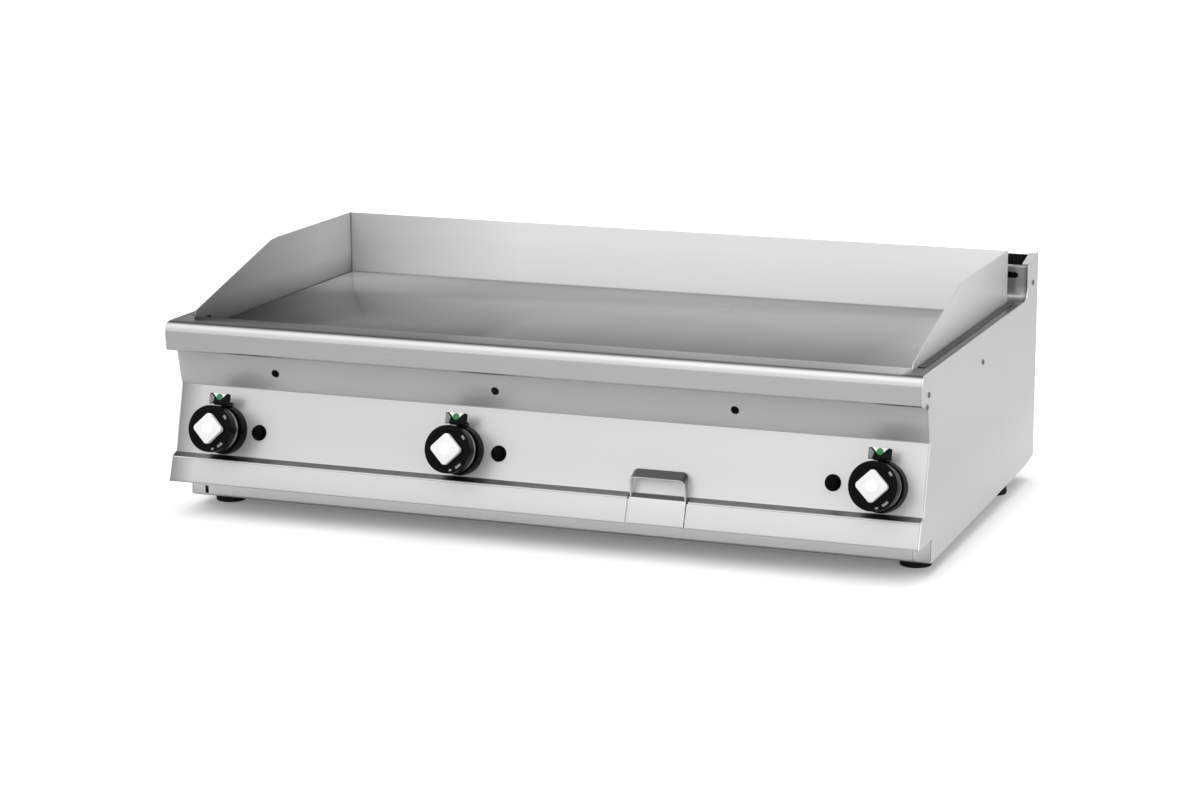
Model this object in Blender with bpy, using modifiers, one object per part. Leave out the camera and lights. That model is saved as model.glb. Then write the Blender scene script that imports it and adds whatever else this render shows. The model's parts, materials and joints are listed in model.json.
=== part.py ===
"""Flat top griddle: a gas fry-top for a restaurant worktop, modelled in metres, +Z up.

+X runs right along the front, +Y runs back, and Z = 0 is the surface the feet stand on.
Depths are written from the front of the worktop's nose (0) to the back panel (BODY_DEPTH);
the empty GRIDDLE_ROOT shifts them all so that the origin is under the middle of the object.
"""
import math

import bmesh
import bpy
from mathutils import Matrix, Vector

MM = 0.001
GAP = 0.3                      # running gap left between touching sheets, mm

# Driving dimensions, mm
WIDTH = 1200.0
BODY_DEPTH = 705.0
WORKTOP_Z = 307.0              # top of the worktop above the table
FLUE_TOP_Z = 374.0
GUARD_TOP_Z = 389.5
PLATE_Z = 288.0
PLATE_THICKNESS = 12.0
SHEET = 2.0                    # outer sheets
THIN = 1.5                     # inner sheets
ZONE_X = (-380.0, 0.0, 380.0)  # centres of the three burners
KNOB_X = (-517.5, -121.0, 535.0)
BUTTON_X = (-459.0, -59.0, 461.5)
INLET_REACH = 28.0             # gas thread standing out behind the back panel
KNOB_FRONT_Y = -32.0           # foremost point of the knob caps
ORIGIN_Y = (BODY_DEPTH + INLET_REACH + KNOB_FRONT_Y) / 2.0

HALF = WIDTH / 2.0
INNER = HALF - SHEET           # inner face of the side panels
SPAN = INNER - GAP             # half length of the sheets between them

# Front profile, (depth, height) of each bend
NOSE_BACK = (36.0, 261.5)
NOSE_UNDER = (3.2, 261.5)
NOSE_FRONT = (0.0, WORKTOP_Z)
RECESS_TOP = (36.0, 261.5)
PANEL_TOP = (50.0, 202.0)
PANEL_BOTTOM = (23.5, 98.5)
LEDGE_FRONT = (11.0, 94.0)
SKIRT_BOTTOM = (-2.5, 55.5)
PLINTH_Y = 72.0
PLINTH_Z = 18.0
TOE_BACK_Y = 98.0              # the plinth is folded back this far, then up to the base
BASE_Z = 30.0                  # underside of the base
HEEL = (650.0, 33.0)           # where the side panels' lower edge turns up to the back
BACK_FOOT_Z = 40.0
FLUE_Y = 640.0
FLUE_RIM_Z = 361.0
COVE = 20.0

# Opening in the worktop and what stands in it
OPEN_X = 576.0
OPEN_FRONT = 58.0
OPEN_BACK = 612.5
GUARD_X = 573.5
GUARD_BACK = 610.0
GUARD_FRONT = 47.0
GUARD_SEAT_Z = 276.0
PLATE_X = 569.5
PLATE_FRONT = 100.0
PLATE_BACK = 606.0

# Drawer under the control panel
DRAWER_X = (157.6, 245.4)
DRAWER_GAP = 3.2
HANDLE_FRONT = (7.5, 126.0)    # depth and height of the grip's two long edges
HANDLE_BACK = (25.5, 134.4)
DRAIN_X = 201.0
DRAIN_Y = 77.0

# Control panel frame: s runs up the panel from its lower bend, h stands out of it
PANEL_RUN = (PANEL_TOP[0] - PANEL_BOTTOM[0], PANEL_TOP[1] - PANEL_BOTTOM[1])
PANEL_TILT = math.atan2(PANEL_RUN[0], PANEL_RUN[1])
CONTROL_S = 39.0
VALVE_REACH = 92.0             # from the panel's face in to the middle of the manifold
PANEL_MIDDLE = (PANEL_BOTTOM[0] + CONTROL_S * math.sin(PANEL_TILT),
                PANEL_BOTTOM[1] + CONTROL_S * math.cos(PANEL_TILT))

# Gas manifold behind the controls, and the feet
GAS_X = 579.0
GAS_Y = PANEL_MIDDLE[0] + VALVE_REACH * math.cos(PANEL_TILT)
GAS_Z = PANEL_MIDDLE[1] - VALVE_REACH * math.sin(PANEL_TILT)
FEET = ((-561.0, 129.0), (561.0, 129.0), (-561.0, 590.0), (561.0, 590.0))

STEEL = (0.62, 0.63, 0.63)
PARTS = {
    "satin_steel": (STEEL, 0.34, 1.0),
    "plate_steel": ((0.42, 0.41, 0.39), 0.30, 1.0),
    "galvanised": ((0.55, 0.56, 0.57), 0.50, 1.0),
    "black_plastic": ((0.02, 0.02, 0.02), 0.35, 0.0),
    "white_plastic": ((0.85, 0.85, 0.84), 0.30, 0.0),
    "brass": ((0.70, 0.52, 0.25), 0.35, 1.0),
    "cast_iron": ((0.08, 0.08, 0.08), 0.70, 0.6),
    "black_rubber": ((0.02, 0.02, 0.02), 0.80, 0.0),
    "zinc_steel": ((0.60, 0.60, 0.58), 0.40, 1.0),
}


def clear_scene():
    """Remove whatever the file opened with."""
    for obj in list(bpy.data.objects):
        bpy.data.objects.remove(obj, do_unlink=True)
    for group in list(bpy.data.collections):
        bpy.data.collections.remove(group)


def new_collection(name):
    group = bpy.data.collections.new(name)
    bpy.context.scene.collection.children.link(group)
    return group


def new_material(name, kind):
    """Principled material of one of the kinds in PARTS."""
    colour, roughness, metallic = PARTS[kind]
    material = bpy.data.materials.new(name)
    material.use_nodes = True
    shader = material.node_tree.nodes["Principled BSDF"]
    shader.inputs["Base Color"].default_value = (*colour, 1.0)
    shader.inputs["Roughness"].default_value = roughness
    shader.inputs["Metallic"].default_value = metallic
    return material


def new_empty(name, location, parent=None, rotation=(0.0, 0.0, 0.0)):
    """Empty that carries other objects, at a location in mm."""
    empty = bpy.data.objects.new(name, None)
    empty.location = Vector(location) * MM
    empty.rotation_euler = rotation
    empty.parent = parent
    GRIDDLE.objects.link(empty)
    return empty


def place(name, data, kind, parent=None, location=(0.0, 0.0, 0.0), rotation=(0.0, 0.0, 0.0)):
    """Link mesh or curve data as one named part with its own material."""
    obj = bpy.data.objects.new(name, data)
    obj.location = Vector(location) * MM
    obj.rotation_euler = rotation
    obj.parent = parent or ROOT
    if kind is None:
        obj.hide_render = True
        obj.display_type = "WIRE"
        CUTTERS.objects.link(obj)
        return obj
    data.materials.append(new_material(name, kind))
    GRIDDLE.objects.link(obj)
    return obj


def box_mesh(name, low, high, corner=0.0, edge=0.0, segments=4):
    """Box between two corners in mm; corner rounds its upright edges, edge its top ones."""
    low, high = Vector(low), Vector(high)
    bm = bmesh.new()
    bmesh.ops.create_cube(bm, size=1.0)
    size = high - low
    middle = (high + low) / 2.0
    bmesh.ops.scale(bm, vec=size * MM, verts=bm.verts)
    bmesh.ops.translate(bm, vec=middle * MM, verts=bm.verts)
    if corner > 0.0:
        upright = [e for e in bm.edges if abs((e.verts[0].co - e.verts[1].co).z) > size.z * MM * 0.9]
        bmesh.ops.bevel(bm, geom=upright, offset=corner * MM, segments=segments,
                        profile=0.5, affect="EDGES")
    if edge > 0.0:
        top = [e for e in bm.edges if min(v.co.z for v in e.verts) > (high.z - 0.01) * MM]
        bmesh.ops.bevel(bm, geom=top, offset=edge * MM, segments=2, profile=0.5, affect="EDGES")
    mesh = bpy.data.meshes.new(name)
    bm.to_mesh(mesh)
    bm.free()
    return mesh


def box(name, low, high, kind, parent=None, **rounding):
    return place(name, box_mesh(name, low, high, **rounding), kind, parent)


def smooth(mesh):
    """Shade a round piece smooth, keeping its real edges."""
    mesh.shade_smooth()
    mesh.set_sharp_from_angle(angle=math.radians(35.0))
    return mesh


def cylinder(name, radius, length, kind, parent=None, location=(0, 0, 0), rotation=(0, 0, 0), sides=20):
    """Closed cylinder about its own Z, centred on its location."""
    bm = bmesh.new()
    bmesh.ops.create_cone(bm, cap_ends=True, segments=sides, radius1=radius * MM,
                          radius2=radius * MM, depth=length * MM)
    mesh = bpy.data.meshes.new(name)
    bm.to_mesh(mesh)
    bm.free()
    return place(name, smooth(mesh), kind, parent, location, rotation)


def fillet(points, radii, steps=3):
    """Polyline with its inner corners rounded; works in two or three dimensions."""
    points = [Vector(p) for p in points]
    result = [points[0]]
    for before, corner, after, radius in zip(points, points[1:], points[2:], radii):
        if radius <= 0.0:
            result.append(corner)
            continue
        back = (before - corner).normalized()
        ahead = (after - corner).normalized()
        half = back.angle(ahead) / 2.0
        reach = radius / math.tan(half)
        centre = corner + (back + ahead).normalized() * (radius / math.sin(half))
        start = corner + back * reach - centre
        end = corner + ahead * reach - centre
        sweep = start.angle(end)
        for step in range(steps + 1):
            turn = step / steps
            first = math.sin((1.0 - turn) * sweep) / math.sin(sweep)
            second = math.sin(turn * sweep) / math.sin(sweep)
            result.append(centre + start * first + end * second)
    result.append(points[-1])
    return result


def strip_mesh(name, path, low, high, along):
    """Open surface: a polyline swept in a straight line; along is the axis it is swept on."""
    bm = bmesh.new()
    rows = []
    for a, b in path:
        ends = []
        for reach in (low, high):
            co = {"X": (reach, a, b), "Z": (a, b, reach)}[along]
            ends.append(bm.verts.new(Vector(co) * MM))
        rows.append(ends)
    for (a, b), (c, d) in zip(rows, rows[1:]):
        bm.faces.new((a, b, d, c))
    mesh = bpy.data.meshes.new(name)
    bm.to_mesh(mesh)
    bm.free()
    return mesh


def solidify(obj, thickness, offset=-1.0):
    wall = obj.modifiers.new("sheet", "SOLIDIFY")
    wall.thickness = thickness * MM
    wall.offset = offset
    wall.use_even_offset = True
    return obj


def sheet(name, path, thickness, kind, span=SPAN):
    """Folded sheet: its outer profile in (depth, height), run along X.

    The profile goes up the front, back along a top, and forward along a bottom,
    so that the sheet's thickness always lies inside.
    """
    obj = place(name, strip_mesh(name, path, -span, span, "X"), kind)
    return solidify(obj, thickness)


def outline_mesh(name, points, thickness):
    """Flat plate from a closed outline, as a mesh, centred on its own plane."""
    curve = bpy.data.curves.new(name + "_outline", "CURVE")
    curve.dimensions = "2D"
    curve.fill_mode = "BOTH"
    curve.extrude = thickness * MM / 2.0
    spline = curve.splines.new("POLY")
    spline.points.add(len(points) - 1)
    for point, (a, b) in zip(spline.points, points):
        point.co = (a * MM, b * MM, 0.0, 1.0)
    spline.use_cyclic_u = True
    return curve_to_mesh(name, curve)


def curve_to_mesh(name, curve):
    """Mesh of a curve's evaluated shape, with its caps welded on."""
    holder = bpy.data.objects.new(name + "_curve", curve)
    bpy.context.scene.collection.objects.link(holder)
    bpy.context.view_layer.update()
    evaluated = holder.evaluated_get(bpy.context.evaluated_depsgraph_get())
    mesh = bpy.data.meshes.new_from_object(evaluated)
    mesh.name = name
    bpy.data.objects.remove(holder, do_unlink=True)
    bm = bmesh.new()
    bm.from_mesh(mesh)
    bmesh.ops.remove_doubles(bm, verts=bm.verts, dist=0.00001)
    bmesh.ops.recalc_face_normals(bm, faces=bm.faces)
    bm.to_mesh(mesh)
    bm.free()
    return mesh


# Turns an outline drawn in (depth, height) so that it stands across X.
ACROSS = Matrix(((0.0, 0.0, 1.0), (1.0, 0.0, 0.0), (0.0, 1.0, 0.0))).to_4x4()


def side_plate(name, points, low_x, high_x, kind):
    """Plate whose closed outline is in (depth, height), between two X positions."""
    mesh = outline_mesh(name, points, high_x - low_x)
    mesh.transform(ACROSS)
    return place(name, mesh, kind, location=((low_x + high_x) / 2.0, 0.0, 0.0))


def turned(name, profile, kind, parent=None, location=(0, 0, 0), rotation=(0, 0, 0),
           steps=24, closed=False):
    """Turned piece about its own Z from a profile of (radius, height), outer side top to bottom."""
    mesh = bpy.data.meshes.new(name)
    bm = bmesh.new()
    verts = [bm.verts.new((r * MM, 0.0, z * MM)) for r, z in profile]
    for a, b in zip(verts, verts[1:]):
        bm.edges.new((a, b))
    if closed:
        bm.edges.new((verts[-1], verts[0]))
    bm.to_mesh(mesh)
    bm.free()
    obj = place(name, mesh, kind, parent, location, rotation)
    spin = obj.modifiers.new("turn", "SCREW")
    spin.axis = "Z"
    spin.angle = math.tau
    spin.steps = steps
    spin.render_steps = steps
    spin.use_merge_vertices = True
    spin.merge_threshold = 0.00001
    return obj


def tube(name, points, radii, radius, kind, resolution=2):
    """Bent round tube through the points, with its bends rounded."""
    path = fillet(points, radii, 4)
    curve = bpy.data.curves.new(name, "CURVE")
    curve.dimensions = "3D"
    curve.bevel_depth = radius * MM
    curve.bevel_resolution = resolution
    curve.use_fill_caps = True
    spline = curve.splines.new("POLY")
    spline.points.add(len(path) - 1)
    for point, co in zip(spline.points, path):
        point.co = (*(co * MM), 1.0)
    return place(name, smooth(curve_to_mesh(name, curve)), kind)


def boolean(target, tool, operation="DIFFERENCE"):
    change = target.modifiers.new(tool.name, "BOOLEAN")
    change.operation = operation
    change.solver = "EXACT"
    change.object = tool
    return target


def cut_box(target, name, low, high, parent=None):
    return boolean(target, box(name + "_cut", low, high, None, parent))


def cut_round(target, name, radius, length, location, rotation=(0, 0, 0), parent=None, sides=16):
    tool = cylinder(name + "_cut", radius, length, None, parent, location, rotation, sides)
    return boolean(target, tool)


def slot_outline(half_length, half_height, steps=3):
    """Closed outline of a slot with round ends."""
    points = []
    for side in (1.0, -1.0):
        for step in range(steps + 1):
            turn = math.pi * (step / steps - 0.5)
            points.append((side * (half_length - half_height + half_height * math.cos(turn)),
                           side * half_height * math.sin(turn)))
    return points


def make_shell():
    """Worktop, front, side, back and bottom sheets."""
    nose = fillet([NOSE_BACK, NOSE_UNDER, (0.0, 290.0), NOSE_FRONT, (FLUE_Y, WORKTOP_Z),
                   (FLUE_Y, FLUE_RIM_Z), (FLUE_Y + 12.0, FLUE_RIM_Z), (FLUE_Y + 12.0, FLUE_RIM_Z - 6.0)],
                  (7.0, 0.0, 14.5, COVE, 2.5, 2.5), 5)
    worktop = sheet("worktop", nose, SHEET, "satin_steel")
    cut_box(worktop, "plate_opening", (-OPEN_X, OPEN_FRONT, 295.0), (OPEN_X, OPEN_BACK, 320.0))
    slot_pitch = 118.0
    for number in range(10):
        name = f"flue_slot_{number + 1}_cut"
        x = (number - 4.5) * slot_pitch + 18.0
        boolean(worktop, place(name, outline_mesh(name, slot_outline(34.0, 5.0), 16.0), None,
                               location=(x, FLUE_Y, 345.5), rotation=(math.pi / 2.0, 0, 0)))

    top = (RECESS_TOP[0], RECESS_TOP[1] - GAP)
    recess = sheet("recess_panel",
                   fillet([(PANEL_TOP[0] + 8.0, PANEL_TOP[1] + GAP), (PANEL_TOP[0], PANEL_TOP[1] + GAP),
                           top, (top[0] + 14.0, top[1])], (2.0, 2.0), 2), THIN, "satin_steel")
    middle = ((RECESS_TOP[0] + PANEL_TOP[0]) / 2.0, (RECESS_TOP[1] + PANEL_TOP[1]) / 2.0)
    for number, x in enumerate((-434.0, -68.5, 309.0)):
        cut_round(recess, f"sight_hole_{number + 1}", 6.5, 30.0, (x, middle[0] + 0.5, middle[1] - 2.8),
                  (math.radians(103.0), 0, 0), sides=20)

    ledge_cut = (DRAWER_X[0] - DRAWER_GAP, DRAWER_X[1] + DRAWER_GAP)
    panel = sheet("control_panel",
                  fillet([LEDGE_FRONT, PANEL_BOTTOM, PANEL_TOP, (PANEL_TOP[0] + 8.0, PANEL_TOP[1])],
                         (2.0, 2.5), 3), SHEET, "satin_steel")
    cut_box(panel, "drawer_ledge", (ledge_cut[0], 0.0, 85.0),
            (ledge_cut[1], PANEL_BOTTOM[0] - 0.2, PANEL_BOTTOM[1] + 0.9))
    for number, face in enumerate(KNOB_FACES):
        cut_round(panel, f"stem_hole_{number + 1}", 11.0, 20.0, (0, 0, 0), parent=face)
    for number, face in enumerate(BUTTON_FACES):
        cut_round(panel, f"button_hole_{number + 1}", 11.5, 20.0, (0, 0, 0), parent=face, sides=20)

    skirt_top = SHEET + 0.5
    slope = (LEDGE_FRONT[0] - SKIRT_BOTTOM[0]) / (LEDGE_FRONT[1] - SKIRT_BOTTOM[1])
    skirt = sheet("lower_panel",
                  fillet([(30.0, SKIRT_BOTTOM[1]), SKIRT_BOTTOM,
                          (LEDGE_FRONT[0] - slope * skirt_top, LEDGE_FRONT[1] - skirt_top)],
                         (3.0,), 3), SHEET, "satin_steel")
    low_x, high_x = ledge_cut
    toe = SKIRT_BOTTOM[1] + SHEET + 0.2
    mouth = [(-10.0, 50.0), (9.0, 50.0), (9.0, toe), (14.0, toe), (14.0, 98.0), (-10.0, 98.0)]
    boolean(skirt, side_plate("drawer_mouth_cut", mouth, low_x, high_x, None))

    profile = [(BODY_DEPTH, BACK_FOOT_Z), HEEL, (PLINTH_Y, PLINTH_Z + 2.0), (PLINTH_Y, SKIRT_BOTTOM[1]),
               SKIRT_BOTTOM, LEDGE_FRONT, PANEL_BOTTOM, PANEL_TOP, NOSE_BACK, NOSE_UNDER, (0.0, 290.0),
               NOSE_FRONT, (FLUE_Y, WORKTOP_Z), (FLUE_Y, FLUE_RIM_Z), (BODY_DEPTH - 4.0, FLUE_TOP_Z),
               (BODY_DEPTH, FLUE_TOP_Z), (BODY_DEPTH, BACK_FOOT_Z)]
    radii = (0.0, 0.0, 6.0, 1.5, 0.0, 2.0, 2.0, 0.0, 7.0, 0.0, 14.5, COVE, 2.0, 2.0, 0.0)
    outline = fillet(profile, radii, 5)[:-1]
    rim = [(FLUE_Y + 14.0, 362.5), (BODY_DEPTH - 5.0, 372.4), (BODY_DEPTH - 5.0, 370.4), (FLUE_Y + 14.0, 360.5)]
    for name, side in (("side_panel_left", -1.0), ("side_panel_right", 1.0)):
        near, far = sorted((side * INNER, side * HALF))
        plate = side_plate(name, outline, near, far, "satin_steel")
        near, far = sorted((side * (INNER - 12.0), side * (INNER + 1.0)))
        boolean(plate, side_plate(name + "_rim_join", rim, near, far, None), "UNION")

    back = box("rear_panel", (-SPAN, BODY_DEPTH - SHEET, BACK_FOOT_Z), (SPAN, BODY_DEPTH, 369.5), "satin_steel")
    cut_round(back, "inlet_hole", 12.5, 20.0, (GAS_X, BODY_DEPTH, GAS_Z), (math.pi / 2.0, 0, 0))

    fold = [(640.0, 52.0), (640.0, BASE_Z), (TOE_BACK_Y, BASE_Z), (TOE_BACK_Y, PLINTH_Z),
            (PLINTH_Y, PLINTH_Z), (PLINTH_Y, SKIRT_BOTTOM[1] - 0.5)]
    base = sheet("base_pan", fillet(fold, (3.0, 1.0, 3.0, 3.0), 3), SHEET, "satin_steel", span=SPAN - 0.2)
    for number, side in enumerate((-1.0, 1.0)):
        x = side * 573.5
        cut_box(base, f"plinth_slot_{number + 1}", (x - 3.0, PLINTH_Y - 5.0, 22.0),
                (x + 3.0, PLINTH_Y + 5.0, 34.0))
    for number, (x, y) in enumerate(FEET):
        cut_round(base, f"stud_hole_{number + 1}", 5.6, 20.0, (x, y, BASE_Z), sides=12)
    for number, x in enumerate(ZONE_X):
        for row, y in enumerate((240.0, 500.0)):
            cut_box(base, f"air_slot_{number + 1}_{row + 1}", (x - 110.0, y - 12.0, BASE_Z - 7.0),
                    (x + 110.0, y + 12.0, BASE_Z + 8.0))


def make_cooking_top():
    """Plate, splash guard, grease channel and chute."""
    box("griddle_plate", (-PLATE_X, PLATE_FRONT, PLATE_Z - PLATE_THICKNESS), (PLATE_X, PLATE_BACK, PLATE_Z),
        "plate_steel", edge=1.0)

    plan = [(-GUARD_X, 40.0), (-GUARD_X, GUARD_BACK), (GUARD_X, GUARD_BACK), (GUARD_X, 40.0)]
    plan = fillet(plan, (3.0, 3.0), 3)
    guard = place("splash_guard", strip_mesh("splash_guard", plan, GUARD_SEAT_Z, GUARD_TOP_Z, "Z"), "satin_steel")
    solidify(guard, SHEET)
    brow = fillet([(GUARD_FRONT, 290.0), (GUARD_FRONT, 316.0), (310.0, 387.6), (350.0, GUARD_TOP_Z + 1.0)],
                  (9.0, 40.0), 4)
    above = [(20.0, 290.0)] + [tuple(p) for p in brow] + [(350.0, 440.0), (20.0, 440.0)]
    boolean(guard, side_plate("guard_slope_cut", above, -HALF, HALF, None))
    cut_box(guard, "guard_foot", (-HALF, 20.0, 260.0), (HALF, OPEN_FRONT + 1.0, WORKTOP_Z + 0.4))

    channel = box("grease_channel", (-569.0, 56.0, 254.0), (569.0, 98.5, 304.6), "satin_steel")
    cut_box(channel, "channel_hollow", (-567.5, 57.5, 255.5), (567.5, 97.0, 320.0))
    cut_box(channel, "channel_back", (-600.0, 90.0, 287.0), (600.0, 110.0, 320.0))
    cut_round(channel, "channel_drain", 14.5, 20.0, (DRAIN_X, DRAIN_Y, 254.0))

    top = 254.0 - GAP
    bottom = 95.5
    turned("grease_chute", [(16.6, top), (18.0, top), (18.0, bottom), (16.6, bottom)], "satin_steel",
           location=(DRAIN_X, DRAIN_Y, 0.0), steps=16, closed=True)


def make_drawer():
    """Grease drawer: folded front with its own piece of ledge, tray, handle and two guides."""
    slide = new_empty("drawer_slide", (DRAIN_X, 0.0, 75.0), ROOT)
    low_x, high_x = DRAWER_X
    bottom = SKIRT_BOTTOM[1] + 0.4
    path = fillet([(7.0, bottom), (SKIRT_BOTTOM[0] + 0.1, bottom), LEDGE_FRONT,
                   (PANEL_BOTTOM[0] - 0.9, PANEL_BOTTOM[1] - 0.4)], (3.0, 3.0), 3)
    mesh = strip_mesh("drawer_front", [(p[0], p[1] - 75.0) for p in path], low_x - DRAIN_X, high_x - DRAIN_X, "X")
    solidify(place("drawer_front", mesh, "satin_steel", slide), SHEET)

    tray = box("drawer_tray", (162.0 - DRAIN_X, 14.3, 64.3 - 75.0), (241.0 - DRAIN_X, 330.0, 90.0 - 75.0),
               "satin_steel", slide)
    cut_box(tray, "drawer_tray_hollow", (163.3 - DRAIN_X, 15.6, 65.6 - 75.0), (239.7 - DRAIN_X, 328.7, 110.0), slide)

    for name, side in (("drawer_guide_left", -1.0), ("drawer_guide_right", 1.0)):
        wall = sorted((DRAIN_X + side * 41.5, DRAIN_X + side * 43.0))
        foot = sorted((DRAIN_X + side * 28.0, DRAIN_X + side * 43.0))
        guide = box(name, (wall[0], 34.0, 62.5), (wall[1], 345.0, 94.0), "galvanised")
        boolean(guide, box(name + "_foot_join", (foot[0], 34.0, 62.5), (foot[1], 345.0, 64.0), None), "UNION")

    make_handle(slide)


def make_handle(slide):
    """Bridge handle bent from strip: two legs on the ledge and a grip that slopes to the front."""
    low_x, high_x = DRAWER_X[0] + 0.5, DRAWER_X[1] - 0.5
    front_edge = (12.5, *HANDLE_FRONT)
    back_edge = (21.5, *HANDLE_BACK)
    rise = 34.0
    path = fillet([(low_x, 0.0), (low_x, rise), (high_x, rise), (high_x, 0.0)], (9.0, 9.0), 5)
    bm = bmesh.new()
    rows = []
    for x, height in path:
        share = height / rise
        row = []
        for foot_y, top_y, top_z in (front_edge, back_edge):
            run = (foot_y - LEDGE_FRONT[0]) / (PANEL_BOTTOM[0] - LEDGE_FRONT[0])
            foot_z = LEDGE_FRONT[1] + run * (PANEL_BOTTOM[1] - LEDGE_FRONT[1]) + 0.5
            y = foot_y + (top_y - foot_y) * share
            z = foot_z + (top_z - foot_z) * share
            row.append(bm.verts.new(Vector((x - DRAIN_X, y, z - 75.0)) * MM))
        rows.append(row)
    for (a, b), (c, d) in zip(rows, rows[1:]):
        bm.faces.new((a, b, d, c))
    bmesh.ops.reverse_faces(bm, faces=bm.faces)
    mesh = bpy.data.meshes.new("drawer_handle")
    bm.to_mesh(mesh)
    bm.free()
    solidify(place("drawer_handle", mesh, "satin_steel", slide), 2.0)


def make_controls():
    """Three gas controls and three igniters, built in the control panel's own frame."""
    for number, face in enumerate(KNOB_FACES, 1):
        turned(f"gas_valve_{number}",
               [(0, -4), (9, -4), (9, -18), (17, -18), (17, -54), (12, -56), (12, -68), (8, -68), (8, -81), (0, -81)],
               "brass", face, steps=14)
        turned(f"valve_stem_{number}", [(0, 31.5), (3.6, 31.5), (4.0, 31.0), (4.0, -3.7), (0, -3.7)],
               "zinc_steel", face, steps=12)
        turned(f"knob_{number}",
               [(0, 54), (34.2, 54), (36.2, 52), (36.2, 34.2), (34.8, 33.6), (34.8, 25), (33, 25), (33, 32), (12, 32),
                (12, 12), (4.3, 12), (4.3, 36), (0, 36)], "black_plastic", face, steps=28)
        cap = box(f"knob_cap_{number}", (-18.4, -18.4, 54.3), (18.4, 18.4, 61.0), "white_plastic", face,
                  corner=6.0, edge=1.2, segments=3)
        cap.rotation_euler = (0.0, 0.0, math.pi / 4.0)
        make_bezel(number, face)
    for number, face in enumerate(BUTTON_FACES, 1):
        turned(f"igniter_body_{number}",
               [(0, -10), (9.3, -10), (9.3, 3), (12, 3), (13, 2.2), (13, GAP), (11, GAP), (11, -42), (0, -42)],
               "black_plastic", face, steps=18)
        turned(f"igniter_button_{number}", [(0, 9.6), (6, 9.4), (8.4, 8.2), (8.9, 7), (8.9, -3), (0, -3)],
               "black_plastic", face, steps=18)


def make_bezel(number, face):
    """Dished plastic ring under a knob, with a forked index lug standing clear of the knob's rim."""
    ring = turned(f"knob_bezel_{number}",
                  [(11, 7.5), (31, 7.5), (33, 16), (36.2, 16), (38, 3), (38, GAP), (11, GAP)],
                  "black_plastic", face, steps=28, closed=True)
    half = 17.0
    fork = [(-half, 38.5), (half, 38.5), (half, 54.5), (12.5, 55.5), (3.0, 46.0), (-3.0, 46.0), (-12.5, 55.5),
            (-half, 54.5)]
    foot = [(-10.0, 37.0), (10.0, 37.0), (10.0, 43.0), (-10.0, 43.0)]
    for name, outline, low, high in (("index_foot", foot, 2.0, 26.0), ("index_lug", fork, 25.0, 29.0)):
        lug = place(f"{name}_{number}_join", outline_mesh(name, outline, high - low), None, face,
                    (0.0, 0.0, (low + high) / 2.0))
        boolean(ring, lug, "UNION")


def make_burners():
    """Tube burners, their gas train, pilots, combustion box with its top frame, shield and flue duct."""
    for number, x in enumerate(ZONE_X, 1):
        turned(f"burner_{number}",
               [(18.4, -152), (20, -152), (15, -182), (24, -225), (24, -600), (0, -600),
                (0, -598), (22.4, -598), (22.4, -226), (13.4, -183)],
               "cast_iron", ROOT, (x, 0.0, 190.0), (math.pi / 2.0, 0.0, 0.0), steps=14, closed=True)
        tube(f"supply_tube_{number}",
             [(KNOB_X[number - 1], 73.0, 145.6), (KNOB_X[number - 1], 73.0, 176.0), (x, 112.0, 190.0),
              (x, 147.0, 190.0)], (14.0, 14.0), 4.0, "brass")
        cylinder(f"pilot_burner_{number}", 6.0, 36.0, "brass", location=(x + 45.0, 160.4, 200.0),
                 rotation=(math.pi / 2.0, 0, 0), sides=12)

    shell = box("combustion_box", (-560.0, 140.0, 116.0), (560.0, 636.0, 272.0), "galvanised")
    boolean(shell, box("top_frame_join", (-588.0, 102.0, 270.5), (588.0, 636.0, GUARD_SEAT_Z - GAP), None), "UNION")
    cut_box(shell, "combustion_hollow", (-558.0, 142.0, 100.0), (558.0, 634.0, 268.0))
    cut_box(shell, "top_frame_hole", (-545.0, 142.0, 260.0), (545.0, 584.0, 290.0))
    boolean(shell, box("burner_rail_join", (-559.0, 552.0, 150.0), (559.0, 568.0, 165.6), None), "UNION")
    for number, x in enumerate(ZONE_X, 1):
        cut_round(shell, f"burner_port_{number}", 23.0, 20.0, (x, 141.0, 190.0), (math.pi / 2.0, 0, 0))
    cut_box(shell, "exhaust_port", (-520.0, 625.0, 215.0), (520.0, 645.0, 255.0))

    duct = box("flue_duct", (-560.0, 645.0, 200.0), (560.0, 698.0, 352.0), "galvanised")
    cut_box(duct, "flue_hollow", (-558.5, 646.5, 201.5), (558.5, 696.5, 380.0))
    cut_box(duct, "flue_port", (-520.0, 640.0, 215.0), (520.0, 650.0, 255.0))
    cut_box(duct, "flue_vent", (-556.0, 640.0, 338.0), (556.0, 650.0, 380.0))

    box("heat_shield", (-556.0, 138.0, 96.3), (556.0, 630.0, 97.8), "galvanised")

    cylinder("gas_manifold", 10.65, 1090.0, "zinc_steel", location=(0.0, GAS_Y, GAS_Z),
             rotation=(0.0, math.pi / 2.0, 0.0), sides=16)
    tube("gas_inlet_pipe", [(545.4, GAS_Y, GAS_Z), (GAS_X, GAS_Y, GAS_Z), (GAS_X, BODY_DEPTH + INLET_REACH, GAS_Z)],
         (20.0,), 10.65, "zinc_steel", resolution=4)


def make_feet():
    """Four levelling feet: a rubber pad with a threaded stud through the base pan."""
    for name, (x, y) in zip(("front_left", "front_right", "rear_left", "rear_right"), FEET):
        turned(f"foot_pad_{name}", [(0, 17), (20, 17), (22.5, 14), (24, 3), (23, 0), (0, 0)], "black_rubber",
               location=(x, y, 0.0), steps=20)
        turned(f"foot_stud_{name}", [(0, 52), (4.2, 52), (5.0, 51), (5.0, 17.3), (0, 17.3)], "zinc_steel",
               location=(x, y, 0.0), steps=10)


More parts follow.
